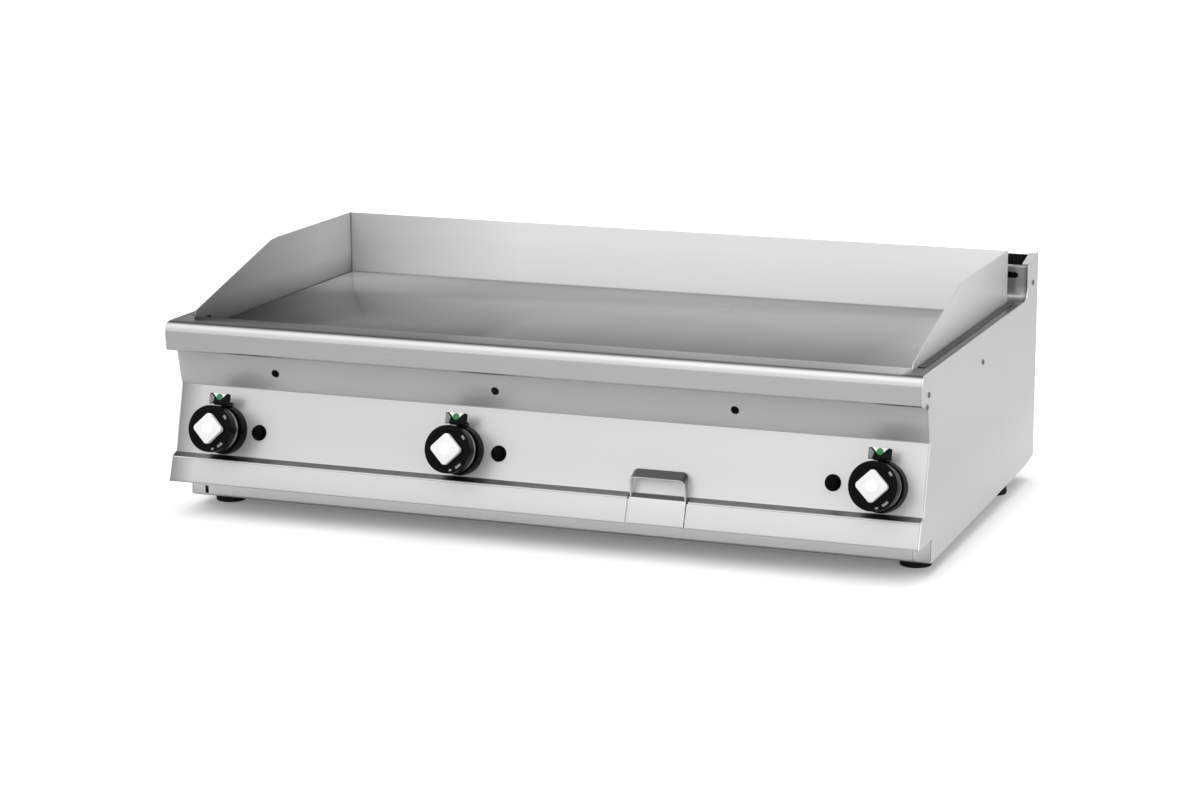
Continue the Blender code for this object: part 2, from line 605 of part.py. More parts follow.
clear_scene()
GRIDDLE = new_collection("flat_top_griddle")
CUTTERS = new_collection("cutters")
ROOT = new_empty("griddle_root", (0.0, -ORIGIN_Y, 0.0))
FACE_TURN = (math.pi / 2.0 - PANEL_TILT, 0.0, 0.0)
KNOB_FACES = [new_empty(f"knob_axis_{n + 1}", (x, *PANEL_MIDDLE), ROOT, FACE_TURN) for n, x in enumerate(KNOB_X)]
BUTTON_FACES = [new_empty(f"button_axis_{n + 1}", (x, *PANEL_MIDDLE), ROOT, FACE_TURN)
                for n, x in enumerate(BUTTON_X)]
make_shell()
make_cooking_top()
make_drawer()
make_controls()
make_burners()
make_feet()
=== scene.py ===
"""Looks of the flat top griddle: pieces, materials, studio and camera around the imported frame.

Metres, +X right along the front, +Y towards the back, +Z up, Z = 0 under the feet.
"""
import json
import math

import bmesh
import bpy
from mathutils import Matrix, Vector


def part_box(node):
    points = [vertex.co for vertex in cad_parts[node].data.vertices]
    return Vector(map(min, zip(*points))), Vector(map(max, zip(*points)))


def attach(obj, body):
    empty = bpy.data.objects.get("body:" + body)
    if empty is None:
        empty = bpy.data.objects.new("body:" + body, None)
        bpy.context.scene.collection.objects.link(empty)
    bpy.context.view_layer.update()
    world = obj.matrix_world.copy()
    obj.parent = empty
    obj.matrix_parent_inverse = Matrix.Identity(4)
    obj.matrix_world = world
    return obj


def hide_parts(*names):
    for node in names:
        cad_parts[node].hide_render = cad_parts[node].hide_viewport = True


MM = 0.001
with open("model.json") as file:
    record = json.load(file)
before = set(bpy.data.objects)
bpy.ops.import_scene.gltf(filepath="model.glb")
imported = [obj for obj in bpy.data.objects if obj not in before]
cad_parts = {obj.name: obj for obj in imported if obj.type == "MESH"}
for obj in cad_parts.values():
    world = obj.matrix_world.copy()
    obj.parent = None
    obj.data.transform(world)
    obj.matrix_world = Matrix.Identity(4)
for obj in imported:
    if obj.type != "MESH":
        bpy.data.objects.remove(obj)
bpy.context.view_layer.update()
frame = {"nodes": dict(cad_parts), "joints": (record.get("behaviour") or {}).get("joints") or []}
NODES = frame["nodes"]
JOINTS = {joint["name"]: joint for joint in frame["joints"]}

# Camera of a long lens, a little above the worktop and to the right
CAMERA_PLACE = Vector((1.6885, -4.4622, 1.2005))
CAMERA_AIM = Vector((-0.0177, -0.0005, 0.1566))
CAMERA_ROLL = math.radians(-0.13)
CAMERA_LENS = 92.64
SENSOR = 36.0

# Knob, in its own frame: radii and heights out of the panel, mm
KNOB_RADIUS = 36.2
KNOB_FRONT = 54.0
KNOB_FACE = 53.0                    # black face inside the raised rim
HEAD_FOOT = 33.9
HEAD_STEP = 33.7
CAP_SIDE = 36.8
CAP_FOOT = 53.3
CAP_TOP = 61.0
CAP_CORNER = 6.0
DISC_RADIUS = 9.0
SKIRT_RADIUS = 34.8
SKIRT_TOP = 33.6
SKIRT_FLOOR = 32.2
SKIRT_FOOT = 25.2
SKIRT_WALL = 1.6
HUB_RADIUS = 12.0
HUB_TOP = 32.1
HUB_FOOT = 12.0
BORE = 4.3                          # radius of the hole for the valve stem
BORE_END = 36.0
MARK_RADIUS = 33.4
BEZEL_RADIUS = 38.0
LUG_FOOT = 25.0
LUG_TOP = 29.0
LUG_HALF = 17.0
DOT_RADIUS = 5.2
DOT_PLACE = 49.8                    # height of the dot up the panel from the stem

# Where painted shade and the ledge's polish change: along the normal's upward part, or along X, Y
# or Z in metres
TURNED_LEVEL = (0.70, 0.90)
GUARD_CORNER = (0.5690, 0.5712)
RISER = (0.27, 0.28)

# Materials
EDGE_LEAN = (0.005, 0.12)           # lean of a bevelled normal from a flat to a worn edge
STEEL_EDGE = 0.0006                 # radii over which edges are rubbed, metres
PLATE_EDGE = 0.0008
MOULDED_EDGE = 0.0005
STEEL_RELIEF = 0.0002               # depths of the finest marks, metres
MOULDED_RELIEF = 0.0001
CAST_RELIEF = 0.0004
POLISHED = (0.80, 0.80, 0.80)       # colour of rubbed steel edges


# ---------------------------------------------------------------- materials
def node_tree(name):
    """New material with its Principled shader; returns the material, its nodes and its links."""
    material = bpy.data.materials.new(name)
    material.use_nodes = True
    return material, material.node_tree.nodes, material.node_tree.links


def add(nodes, kind, **values):
    """Add a shader node and set its properties (lower case) or inputs (by name)."""
    node = nodes.new(kind)
    for key, value in values.items():
        if hasattr(node, key):
            setattr(node, key, value)
        else:
            node.inputs[key.replace("_", " ")].default_value = value
    return node


def noise(nodes, links, stretch, scale, detail=3.0, roughness=0.5):
    """Noise in object space, stretched by a scale on each axis."""
    coords = add(nodes, "ShaderNodeTexCoord")
    mapping = add(nodes, "ShaderNodeMapping")
    mapping.inputs["Scale"].default_value = stretch
    texture = add(nodes, "ShaderNodeTexNoise")
    texture.inputs["Scale"].default_value = scale
    texture.inputs["Detail"].default_value = detail
    texture.inputs["Roughness"].default_value = roughness
    links.new(coords.outputs["Object"], mapping.inputs["Vector"])
    links.new(mapping.outputs["Vector"], texture.inputs["Vector"])
    return texture.outputs["Fac"]


def ranged(nodes, links, value, low, high, from_low=0.3, from_high=0.7):
    """Map a value to a range."""
    node = add(nodes, "ShaderNodeMapRange")
    node.inputs["From Min"].default_value = from_low
    node.inputs["From Max"].default_value = from_high
    node.inputs["To Min"].default_value = low
    node.inputs["To Max"].default_value = high
    links.new(value, node.inputs["Value"])
    return node.outputs["Result"]


def maths(nodes, links, operation, first, second):
    """Two values put together; a number stands for itself."""
    node = add(nodes, "ShaderNodeMath")
    node.operation = operation
    for socket, value in zip(node.inputs, (first, second)):
        if isinstance(value, (int, float)):
            socket.default_value = value
        else:
            links.new(value, socket)
    return node.outputs[0]


def mixed(nodes, links, share, first, second):
    """Colour between two colours or colour sockets."""
    node = add(nodes, "ShaderNodeMix")
    node.data_type = "RGBA"
    for index, value in ((0, share), (6, first), (7, second)):
        socket = node.inputs[index]
        if isinstance(value, (int, float)):
            socket.default_value = value
        elif isinstance(value, tuple):
            socket.default_value = (*value, 1.0)
        else:
            links.new(value, socket)
    return node.outputs[2]


def edge_mask(nodes, links, radius):
    """1 along outside edges within a radius, 0 on flats, from how far a bevelled normal leans."""
    bevel = add(nodes, "ShaderNodeBevel", samples=4)
    bevel.inputs["Radius"].default_value = radius
    geometry = add(nodes, "ShaderNodeNewGeometry")
    dot = add(nodes, "ShaderNodeVectorMath")
    dot.operation = "DOT_PRODUCT"
    links.new(bevel.outputs["Normal"], dot.inputs[0])
    links.new(geometry.outputs["Normal"], dot.inputs[1])
    lean = maths(nodes, links, "SUBTRACT", 1.0, dot.outputs["Value"])
    return ranged(nodes, links, lean, 0.0, 1.0, *EDGE_LEAN), bevel.outputs["Normal"]


def scaled(nodes, links, colour, factor):
    """Colour multiplied by a factor."""
    node = add(nodes, "ShaderNodeMix")
    node.data_type = "RGBA"
    node.blend_type = "MULTIPLY"
    node.inputs[0].default_value = 1.0
    links.new(colour, node.inputs[6])
    links.new(factor, node.inputs[7])
    return node.outputs[2]


def position(nodes, links):
    """X, Y and Z of the point in the object's own space, metres."""
    coords = add(nodes, "ShaderNodeTexCoord")
    axes = add(nodes, "ShaderNodeSeparateXYZ")
    links.new(coords.outputs["Object"], axes.inputs[0])
    return axes.outputs


def facing(nodes, links, axis):
    """One part of the surface's normal."""
    geometry = add(nodes, "ShaderNodeNewGeometry")
    axes = add(nodes, "ShaderNodeSeparateXYZ")
    links.new(geometry.outputs["Normal"], axes.inputs[0])
    return axes.outputs[axis]


def product(nodes, links, *values):
    """Several values multiplied together."""
    result = values[0]
    for value in values[1:]:
        result = maths(nodes, links, "MULTIPLY", result, value)
    return result


def rest(nodes, links, value):
    """One less a value."""
    return maths(nodes, links, "SUBTRACT", 1.0, value)


def painted_end_shade(nodes, links):
    """Painted shade: front sheets darker at the left end and a little lighter to the right."""
    x = position(nodes, links)["X"]
    # The level ledge is painted darker: a painted reflection of the shade under the knobs.
    ledge = ranged(nodes, links, facing(nodes, links, "Z"), 1.0, 0.49, *TURNED_LEVEL)
    return product(nodes, links,
                   ranged(nodes, links, x, 0.35, 0.92, -0.60, -0.56),
                   ledge,
                   ranged(nodes, links, x, 0.92, 1.0, -0.56, 0.0),
                   ranged(nodes, links, x, 1.0, 1.06, 0.0, 0.6))


def ledge_metal(nodes, links):
    """The matt front sheets are polished where they turn level, so the knobs show in the ledge."""
    return ranged(nodes, links, facing(nodes, links, "Z"), 0.55, 1.0, *TURNED_LEVEL)


def painted_level_reflections(nodes, links):
    """Painted reflections and shade on level steel: darker at the front left, with a soft step left
    of centre.

    Painted lighter at the rear left corner and at the right end, and darker at the front than at
    the rear.
    """
    axes = position(nodes, links)
    x, y = axes["X"], axes["Y"]
    painted_darkening = product(nodes, links,
                     ranged(nodes, links, x, 0.84, 0.76, -0.56, -0.20),
                     ranged(nodes, links, x, 1.0, 0.45, -0.145, -0.115),
                     ranged(nodes, links, x, 1.0, 0.0, -0.10, 0.30),
                     ranged(nodes, links, y, 1.0, 0.0, -0.22, 0.12))
    painted_lightening = product(nodes, links,
                      ranged(nodes, links, x, 1.0, 0.0, -0.57, -0.25),
                      ranged(nodes, links, y, -0.40, 0.65, -0.15, 0.12))
    return product(nodes, links,
                   rest(nodes, links, painted_darkening),
                   maths(nodes, links, "ADD", 1.0, painted_lightening),
                   ranged(nodes, links, y, 0.74, 1.16, 0.02, 0.20),
                   ranged(nodes, links, x, 1.0, 1.9, 0.46, 0.57))


def painted_worktop_shade(nodes, links):
    """Painted shade and reflections on the worktop: its level top takes the plate's painted
    reflections.
    """
    level = ranged(nodes, links, facing(nodes, links, "Z"), 0.0, 1.0, 0.86, 0.99)
    axes = position(nodes, links)
    x, y = axes["X"], axes["Y"]
    # The rear riser is painted darker.
    riser = ranged(nodes, links, y, 1.0, 0.62, *RISER)
    # The right wing's outer strip is painted much darker, the left one a touch lighter.
    wings = product(nodes, links,
                    ranged(nodes, links, x, 1.05, 1.0, -0.578, -0.570),
                    ranged(nodes, links, x, 1.0, 0.25, 0.565, 0.574))
    # The level top is painted darker towards the left.
    across = ranged(nodes, links, x, 0.45, 0.78, -0.50, 0.40)
    painted_top_tone = product(nodes, links, painted_level_reflections(nodes, links), across, wings)
    # Painted darker on the rounded right edge, and across the nose towards its left end.
    edge = product(nodes, links,
                   ranged(nodes, links, x, 0.0, 0.6, 0.592, 0.597),
                   ranged(nodes, links, y, 0.0, 1.0, -0.345, -0.335))
    painted_nose_tone = maths(nodes, links, "SUBTRACT", ranged(nodes, links, x, 0.88, 0.98, -0.6, 0.2), edge)
    painted_top_tone = mixed(nodes, links, level, painted_nose_tone, painted_top_tone)
    return scaled(nodes, links, painted_top_tone, riser)


def painted_side_light(nodes, links):
    """Painted light: the side panels are painted lighter low down, to look as bright as at the top.
    """
    return ranged(nodes, links, position(nodes, links)["Z"], 1.22, 1.0, 0.03, 0.15)


def painted_guard_shade_and_joints(nodes, links):
    """Painted shade on the splash guard; dark joint lines run along its foot and in its rear left
    corner.
    """
    axes = position(nodes, links)
    x, y, z = axes["X"], axes["Y"], axes["Z"]
    # Painted darker towards the left and low down, on the right wall's outside and on the sloping
    # top edge.
    corner = product(nodes, links,
                     ranged(nodes, links, x, 0.50, 1.0, -0.58, -0.26),
                     ranged(nodes, links, z, 0.84, 1.0, 0.295, 0.365),
                     ranged(nodes, links, x, 1.0, 0.88, *GUARD_CORNER))
    top_edge = product(nodes, links,
                       ranged(nodes, links, facing(nodes, links, "Z"), 0.0, 0.38, 0.2, 0.5),
                       ranged(nodes, links, x, 0.0, 1.0, 0.56, 0.57))
    corner = product(nodes, links, corner, rest(nodes, links, top_edge))
    left = ranged(nodes, links, x, 0.0, 1.0, -GUARD_CORNER[0], -GUARD_CORNER[1])
    seam = ranged(nodes, links, z, 0.65, 1.0, 0.2880, 0.2895)
    # The left wall is painted darker towards the front and low down; a dark joint line runs up its
    # rear corner.
    along = product(nodes, links,
                    ranged(nodes, links, y, 0.54, 1.18, -0.24, 0.14),
                    ranged(nodes, links, z, 0.52, 1.0, 0.288, 0.325),
                    ranged(nodes, links, y, 1.0, 0.35, 0.2545, 0.2570))
    rear = ranged(nodes, links, x, 0.40, 1.0, -0.5712, -0.5685)
    along = mixed(nodes, links, left, rear, along)
    return scaled(nodes, links, along, product(nodes, links, corner, seam))


def painted_handle_reflection(nodes, links):
    """Painted reflection: the grip's upward faces and the right leg's outside are dark, darkest at
    the top.
    """
    axes = position(nodes, links)
    grip = ranged(nodes, links, facing(nodes, links, "Z"), 1.0, 0.16, 0.3, 0.7)
    leg = product(nodes, links,
                  ranged(nodes, links, facing(nodes, links, "X"), 0.0, 1.0, 0.3, 0.7),
                  ranged(nodes, links, axes["X"], 0.0, 1.0, 0.20, 0.21),
                  ranged(nodes, links, axes["Z"], 0.35, 0.85, 0.10, 0.13))
    return product(nodes, links, grip, rest(nodes, links, leg))


def engrave(nodes, links, shader, height, strength, depth, rounded=None):
    """Raise a shader's surface by a height, over a rounded normal if one is given."""
    relief = add(nodes, "ShaderNodeBump")
    relief.inputs["Strength"].default_value = strength
    relief.inputs["Distance"].default_value = depth
    links.new(height, relief.inputs["Height"])
    if rounded is not None:
        links.new(rounded, relief.inputs["Normal"])
    links.new(relief.outputs["Normal"], shader.inputs["Normal"])


EVEN = (1.0, 1.0, 1.0)
GRAINS = {"X": (3.0, 400.0, 400.0), "Y": (400.0, 3.0, 400.0)}


def brushed_steel(name, colour, roughness, grain="X", shade=None, metallic=1.0, bump=0.02,
                  cloud=0.02, streak=0.03):
    """Sheet steel: fine streaks along the grain, cloudy sheen, polished edges and a few smears.

    A metallic share below one gives the matt, evenly lit look of a bead blasted sheet.
    """
    material, nodes, links = node_tree(name)
    shader = nodes["Principled BSDF"]
    if callable(metallic):
        links.new(metallic(nodes, links), shader.inputs["Metallic"])
    else:
        shader.inputs["Metallic"].default_value = metallic
    streaks = noise(nodes, links, GRAINS[grain], 2.0, 4.0, 0.6)
    clouds = noise(nodes, links, EVEN, 5.0, 3.0)
    smears = noise(nodes, links, (1.0, 1.6, 1.2), 17.0, 6.0, 0.62)
    worn, rounded = edge_mask(nodes, links, STEEL_EDGE)
    dark = tuple((1.0 - streak) * c for c in colour)
    light = tuple(min(1.0, (1.0 + streak) * c) for c in colour)
    tone = mixed(nodes, links, ranged(nodes, links, streaks, 0.0, 1.0), dark, light)
    # Painted light and shade, where a shade function is given.
    if shade:
        tone = scaled(nodes, links, tone, shade(nodes, links))
    tone = mixed(nodes, links, product(nodes, links, worn, 0.2), tone, POLISHED)
    links.new(tone, shader.inputs["Base Color"])
    level = ranged(nodes, links, clouds, roughness - cloud, roughness + cloud)
    grained = ranged(nodes, links, streaks, -0.6 * streak, 0.6 * streak)
    level = maths(nodes, links, "ADD", level, grained)
    smeared = ranged(nodes, links, smears, -0.004, 0.012, 0.45, 0.7)
    level = maths(nodes, links, "ADD", level, smeared)
    level = maths(nodes, links, "SUBTRACT", level, product(nodes, links, worn, 0.06))
    links.new(level, shader.inputs["Roughness"])
    engrave(nodes, links, shader, streaks, bump, STEEL_RELIEF, rounded)
    return material


def ground_plate(name):
    """Griddle plate: ground lengthways, lightly heat tinted, with faint traces of a scraper."""
    material, nodes, links = node_tree(name)
    shader = nodes["Principled BSDF"]
    axes = position(nodes, links)
    ends = maths(nodes, links, "MAXIMUM",
                 ranged(nodes, links, axes["X"], 0.45, 0.0, -0.57, -0.28),
                 ranged(nodes, links, axes["X"], 0.0, 0.45, 0.49, 0.56))
    matt = product(nodes, links, ends, ranged(nodes, links, axes["Y"], 0.0, 1.0, -0.08, 0.10))
    links.new(rest(nodes, links, matt), shader.inputs["Metallic"])
    streaks = noise(nodes, links, (2.0, 260.0, 260.0), 2.0, 5.0, 0.6)
    scraped = noise(nodes, links, (90.0, 2.2, 90.0), 2.0, 4.0, 0.6)
    tint = noise(nodes, links, (1.0, 1.5, 1.0), 2.4, 3.0)
    worn, rounded = edge_mask(nodes, links, PLATE_EDGE)
    tone = mixed(nodes, links, ranged(nodes, links, tint, 0.0, 1.0),
                 (0.395, 0.392, 0.385), (0.42, 0.415, 0.405))
    tone = mixed(nodes, links, ranged(nodes, links, streaks, 0.0, 0.2), tone, (0.46, 0.455, 0.45))
    # Painted reflections and shade, as on the other level steel.
    tone = scaled(nodes, links, tone, painted_level_reflections(nodes, links))
    tone = mixed(nodes, links, product(nodes, links, worn, 0.3), tone, (0.55, 0.55, 0.54))
    links.new(tone, shader.inputs["Base Color"])
    level = ranged(nodes, links, tint, 0.20, 0.27)
    level = maths(nodes, links, "ADD", level, ranged(nodes, links, streaks, -0.012, 0.016))
    level = maths(nodes, links, "ADD", level, ranged(nodes, links, scraped, -0.005, 0.012))
    links.new(level, shader.inputs["Roughness"])
    engrave(nodes, links, shader, streaks, 0.012, STEEL_RELIEF, rounded)
    return material


def galvanised_sheet(name, colour=(0.50, 0.51, 0.52)):
    """Zinc coated sheet with its crystal spangle."""
    material, nodes, links = node_tree(name)
    shader = nodes["Principled BSDF"]
    shader.inputs["Metallic"].default_value = 0.9
    coords = add(nodes, "ShaderNodeTexCoord")
    spangle = add(nodes, "ShaderNodeTexVoronoi")
    spangle.inputs["Scale"].default_value = 90.0
    links.new(coords.outputs["Object"], spangle.inputs["Vector"])
    shade = ranged(nodes, links, spangle.outputs["Color"], 0.0, 1.0, 0.0, 1.0)
    darker = tuple(0.8 * c for c in colour)
    lighter = tuple(1.15 * c for c in colour)
    tone = mixed(nodes, links, shade, darker, lighter)
    links.new(tone, shader.inputs["Base Color"])
    level = ranged(nodes, links, spangle.outputs["Distance"], 0.36, 0.55, 0.0, 0.01)
    links.new(level, shader.inputs["Roughness"])
    return material


def moulded(name, colour, roughness, grain=0.05, coat=0.0, scale=900.0, gloss=0.5):
    """Moulded plastic or rubber: a fine surface grain, slightly uneven gloss and rubbed edges."""
    material, nodes, links = node_tree(name)
    shader = nodes["Principled BSDF"]
    shader.inputs["Coat Weight"].default_value = coat
    shader.inputs["Coat Roughness"].default_value = 0.12
    shader.inputs["IOR"].default_value = 1.48
    shader.inputs["Specular IOR Level"].default_value = gloss
    fine = noise(nodes, links, EVEN, scale, 2.0)
    broad = noise(nodes, links, EVEN, 60.0, 4.0)
    worn, rounded = edge_mask(nodes, links, MOULDED_EDGE)
    lighter = tuple(min(1.0, c + 0.005) for c in colour)
    darker = tuple(0.8 * c for c in colour)
    tone = mixed(nodes, links, ranged(nodes, links, broad, 0.0, 0.35), colour, darker)
    tone = mixed(nodes, links, product(nodes, links, worn, 0.5), tone, lighter)
    links.new(tone, shader.inputs["Base Color"])
    level = ranged(nodes, links, broad, roughness - 0.05, roughness + 0.06)
    links.new(level, shader.inputs["Roughness"])
    engrave(nodes, links, shader, fine, grain, MOULDED_RELIEF, rounded)
    return material


def machined(name, colour, roughness):
    """Turned or plated metal with fine tool marks round it."""
    material, nodes, links = node_tree(name)
    shader = nodes["Principled BSDF"]
    shader.inputs["Metallic"].default_value = 1.0
    marks = noise(nodes, links, (60.0, 700.0, 700.0), 2.0, 3.0)
    broad = noise(nodes, links, EVEN, 40.0, 4.0)
    darker = tuple(0.8 * c for c in colour)
    tone = mixed(nodes, links, ranged(nodes, links, broad, 0.0, 1.0), colour, darker)
    links.new(tone, shader.inputs["Base Color"])
    level = ranged(nodes, links, marks, roughness - 0.06, roughness + 0.08)
    links.new(level, shader.inputs["Roughness"])
    return material


def cast(name, colour=(0.06, 0.055, 0.05)):
    """Heat darkened burner metal with a rough, slightly rusty skin."""
    material, nodes, links = node_tree(name)
    shader = nodes["Principled BSDF"]
    shader.inputs["Metallic"].default_value = 0.5
    grit = noise(nodes, links, EVEN, 300.0, 5.0)
    rust = noise(nodes, links, EVEN, 25.0, 5.0)
    rusted = ranged(nodes, links, rust, 0.0, 0.6, 0.5, 0.75)
    tone = mixed(nodes, links, rusted, colour, (0.20, 0.09, 0.04))
    links.new(tone, shader.inputs["Base Color"])
    links.new(ranged(nodes, links, grit, 0.6, 0.85), shader.inputs["Roughness"])
    engrave(nodes, links, shader, grit, 0.3, CAST_RELIEF)
    return material


MATT = {"bump": 0.008, "streak": 0.015}     # blasted sheets show less of their grain
BLACK = (0.002, 0.002, 0.002)
MATERIALS = {
    "worktop": brushed_steel("worktop_steel", (0.57, 0.575, 0.575), 0.24, shade=painted_worktop_shade),
    "channel": brushed_steel("channel_steel", (0.46, 0.465, 0.465), 0.26, shade=painted_level_reflections),
    "recess": brushed_steel("recess_steel", (0.47, 0.475, 0.475), 0.34, metallic=0.45, **MATT),
    "panel": brushed_steel("panel_steel", (0.615, 0.62, 0.62), 0.32, shade=painted_end_shade,
                           metallic=ledge_metal, bump=0.006, streak=0.012),
    "side": brushed_steel("side_steel", (0.69, 0.695, 0.70), 0.34, grain="Y", shade=painted_side_light,
                          metallic=0.7, **MATT),
    "guard": brushed_steel("guard_steel", (0.82, 0.825, 0.825), 0.36, shade=painted_guard_shade_and_joints,
                           metallic=0.25, **MATT),
    "base": brushed_steel("base_steel", (0.72, 0.725, 0.725), 0.30),
    "handle": brushed_steel("handle_steel", (0.66, 0.665, 0.665), 0.30, shade=painted_handle_reflection,
                            metallic=0.55),
    "drawer": brushed_steel("drawer_steel", (0.62, 0.63, 0.63), 0.22, grain="Y"),
    "plate": ground_plate("plate_steel"),
    "galvanised": galvanised_sheet("galvanised"),
    # Near-black sheet for the flue duct and the linings at its openings: painted shade inside the
    # flue.
    "flue_shade_black": galvanised_sheet("flue_shade_sheet", (0.012, 0.012, 0.012)),
    "zinc": machined("zinc_plated", (0.58, 0.57, 0.52), 0.34),
    "brass": machined("valve_brass", (0.68, 0.50, 0.24), 0.30),
    "iron": cast("burner_iron"),
    "knob": moulded("knob_black", BLACK, 0.30, grain=0.04, gloss=0.07),
    "cap": moulded("cap_white", (0.70, 0.70, 0.695), 0.24, grain=0.01, coat=0.2),
    "bezel": moulded("bezel_black", BLACK, 0.30, grain=0.04, gloss=0.10),
    "igniter": moulded("igniter_black", (0.0015, 0.0015, 0.0015), 0.34, grain=0.03,
                       gloss=0.04),
    "rubber": moulded("foot_rubber", (0.012, 0.012, 0.012), 0.75, grain=0.35, scale=500.0,
                      gloss=0.2),
    # Dark grey for the strips along the guard's foot: painted shadow.
    "foot_shadow": moulded("guard_foot_painted_shadow", (0.045, 0.046, 0.048), 0.45, gloss=0.3),
    "screw": machined("screw_steel", (0.20, 0.20, 0.20), 0.32),
    "skirt": machined("skirt_satin", (0.34, 0.34, 0.34), 0.34),
    "green": moulded("dot_green", (0.01, 0.20, 0.075), 0.30, grain=0.02),
    # Grey of the printed knob marks, also used on the lug's left flank, where it is painted light.
    "mark": moulded("grey_print_and_lit_side", (0.20, 0.20, 0.20), 0.45, grain=0.02),
    "white": moulded("index_white", (0.84, 0.84, 0.83), 0.30, grain=0.02),
}


# ---------------------------------------------------------------- CAD nodes
def finish_node(name, material, crease=28.0):
    """Give a CAD node its material and smooth shading on its rounded faces."""
    obj = NODES[name]
    obj.data.materials.clear()
    obj.data.materials.append(MATERIALS[material])
    obj.data.shade_smooth()
    if "custom_normal" in obj.data.attributes:
        obj.data.attributes.remove(obj.data.attributes["custom_normal"])
    if "sharp_edge" in obj.data.attributes:
        obj.data.attributes.remove(obj.data.attributes["sharp_edge"])
    weld = obj.modifiers.new("weld", "WELD")
    weld.merge_threshold = 0.000002
    split = obj.modifiers.new("creases", "EDGE_SPLIT")
    split.split_angle = math.radians(crease)


NODE_LOOKS = {
    "worktop": "worktop", "recess_panel": "recess", "control_panel": "panel",
    "lower_panel": "panel", "side_panel_left": "side", "side_panel_right": "side",
    "rear_panel": "side", "base_pan": "base",
    "griddle_plate": "plate", "splash_guard": "guard", "grease_channel": "channel",
    "grease_chute": "drawer", "drawer_front": "panel", "drawer_tray": "drawer",
    "drawer_handle": "handle", "drawer_guide_left": "galvanised",
    "drawer_guide_right": "galvanised", "combustion_box": "galvanised", "flue_duct": "flue_shade_black",
    "heat_shield": "galvanised", "gas_manifold": "zinc", "gas_inlet_pipe": "zinc",
}
NUMBERED_LOOKS = {
    "gas_valve": "brass", "valve_stem": "zinc", "burner": "iron", "supply_tube": "brass",
    "pilot_burner": "brass", "knob": "knob", "knob_cap": "cap", "knob_bezel": "bezel",
    "igniter_body": "igniter", "igniter_button": "igniter",
}
FEET = ("front_left", "front_right", "rear_left", "rear_right")
for node, look in NODE_LOOKS.items():
    finish_node(node, look)
for stem, look in NUMBERED_LOOKS.items():
    for number in (1, 2, 3):
        finish_node(f"{stem}_{number}", look)
for corner in FEET:
    finish_node(f"foot_pad_{corner}", "rubber", 50.0)
    finish_node(f"foot_stud_{corner}", "zinc", 50.0)


# ---------------------------------------------------------------- building helpers
def piece(name, mesh, material, body, matrix=None, crease=30.0):
    """New piece from a mesh in mm, in place and riding on a body."""
    mesh.transform(Matrix.Scale(MM, 4))
    mesh.materials.append(MATERIALS[material])
    mesh.shade_smooth()
    mesh.set_sharp_from_angle(angle=math.radians(crease))
    obj = bpy.data.objects.new(name, mesh)
    bpy.context.scene.collection.objects.link(obj)
    if matrix is not None:
        obj.matrix_world = matrix
    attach(obj, body)
    return obj


def rounded_path(points, radii, steps=6):
    """Flat polyline with its inner corners rounded by arcs."""
    points = [Vector(p) for p in points]
    result = [points[0]]
    for before, corner, after, radius in zip(points, points[1:], points[2:], radii):
        if radius <= 0.0:
            result.append(corner)
            continue
        back = (before - corner).normalized()
        ahead = (after - corner).normalized()
        half = back.angle(ahead) / 2.0
        centre = corner + (back + ahead).normalized() * (radius / math.sin(half))
        start = corner + back * (radius / math.tan(half)) - centre
        end = corner + ahead * (radius / math.tan(half)) - centre
        sweep = start.angle(end)
        for step in range(steps + 1):
            turn = step / steps
            first = math.sin((1.0 - turn) * sweep) / math.sin(sweep)
            second = math.sin(turn * sweep) / math.sin(sweep)
            result.append(centre + start * first + end * second)
    result.append(points[-1])
    return result


def turned_mesh(name, profile, steps=96):
    """Solid of revolution about Z from (radius, height) points; a radius of 0 closes it."""
    bm = bmesh.new()
    rings = []
    for radius, height in profile:
        if radius < 1e-6:
            rings.append([bm.verts.new((0.0, 0.0, height))])
            continue
        ring = []
        for step in range(steps):
            angle = math.tau * step / steps
            ring.append(bm.verts.new((radius * math.cos(angle), radius * math.sin(angle), height)))
        rings.append(ring)
    for upper, lower in zip(rings, rings[1:]):
        for step in range(steps):
            after = (step + 1) % steps
            if len(upper) == 1:
                bm.faces.new((upper[0], lower[step], lower[after]))
            elif len(lower) == 1:
                bm.faces.new((upper[step], lower[0], upper[after]))
            else:
                bm.faces.new((upper[step], lower[step], lower[after], upper[after]))
    if len(rings[0]) > 1 and len(rings[-1]) > 1:
        for step in range(steps):
            after = (step + 1) % steps
            bm.faces.new((rings[-1][step], rings[0][step], rings[0][after], rings[-1][after]))
    bmesh.ops.recalc_face_normals(bm, faces=bm.faces)
    mesh = bpy.data.meshes.new(name)
    bm.to_mesh(mesh)
    bm.free()
    return mesh


def slab_mesh(name, outline, low, high, bevel=0.0, segments=3):
    """Flat outline pulled up from low to high, with its top edge rounded."""
    bm = bmesh.new()
    face = bm.faces.new([bm.verts.new((x, y, low)) for x, y in outline])
    pulled = bmesh.ops.extrude_face_region(bm, geom=[face])
    raised = [v for v in pulled["geom"] if isinstance(v, bmesh.types.BMVert)]
    bmesh.ops.translate(bm, vec=(0.0, 0.0, high - low), verts=raised)
    bmesh.ops.recalc_face_normals(bm, faces=bm.faces)
    if bevel > 0.0:
        edges = [e for e in bm.edges if all(v.co.z > high - 0.001 for v in e.verts)]
        bmesh.ops.bevel(bm, geom=edges, offset=bevel, segments=segments, profile=0.5,
                        affect="EDGES")
    mesh = bpy.data.meshes.new(name)
    bm.to_mesh(mesh)
    bm.free()
    return mesh


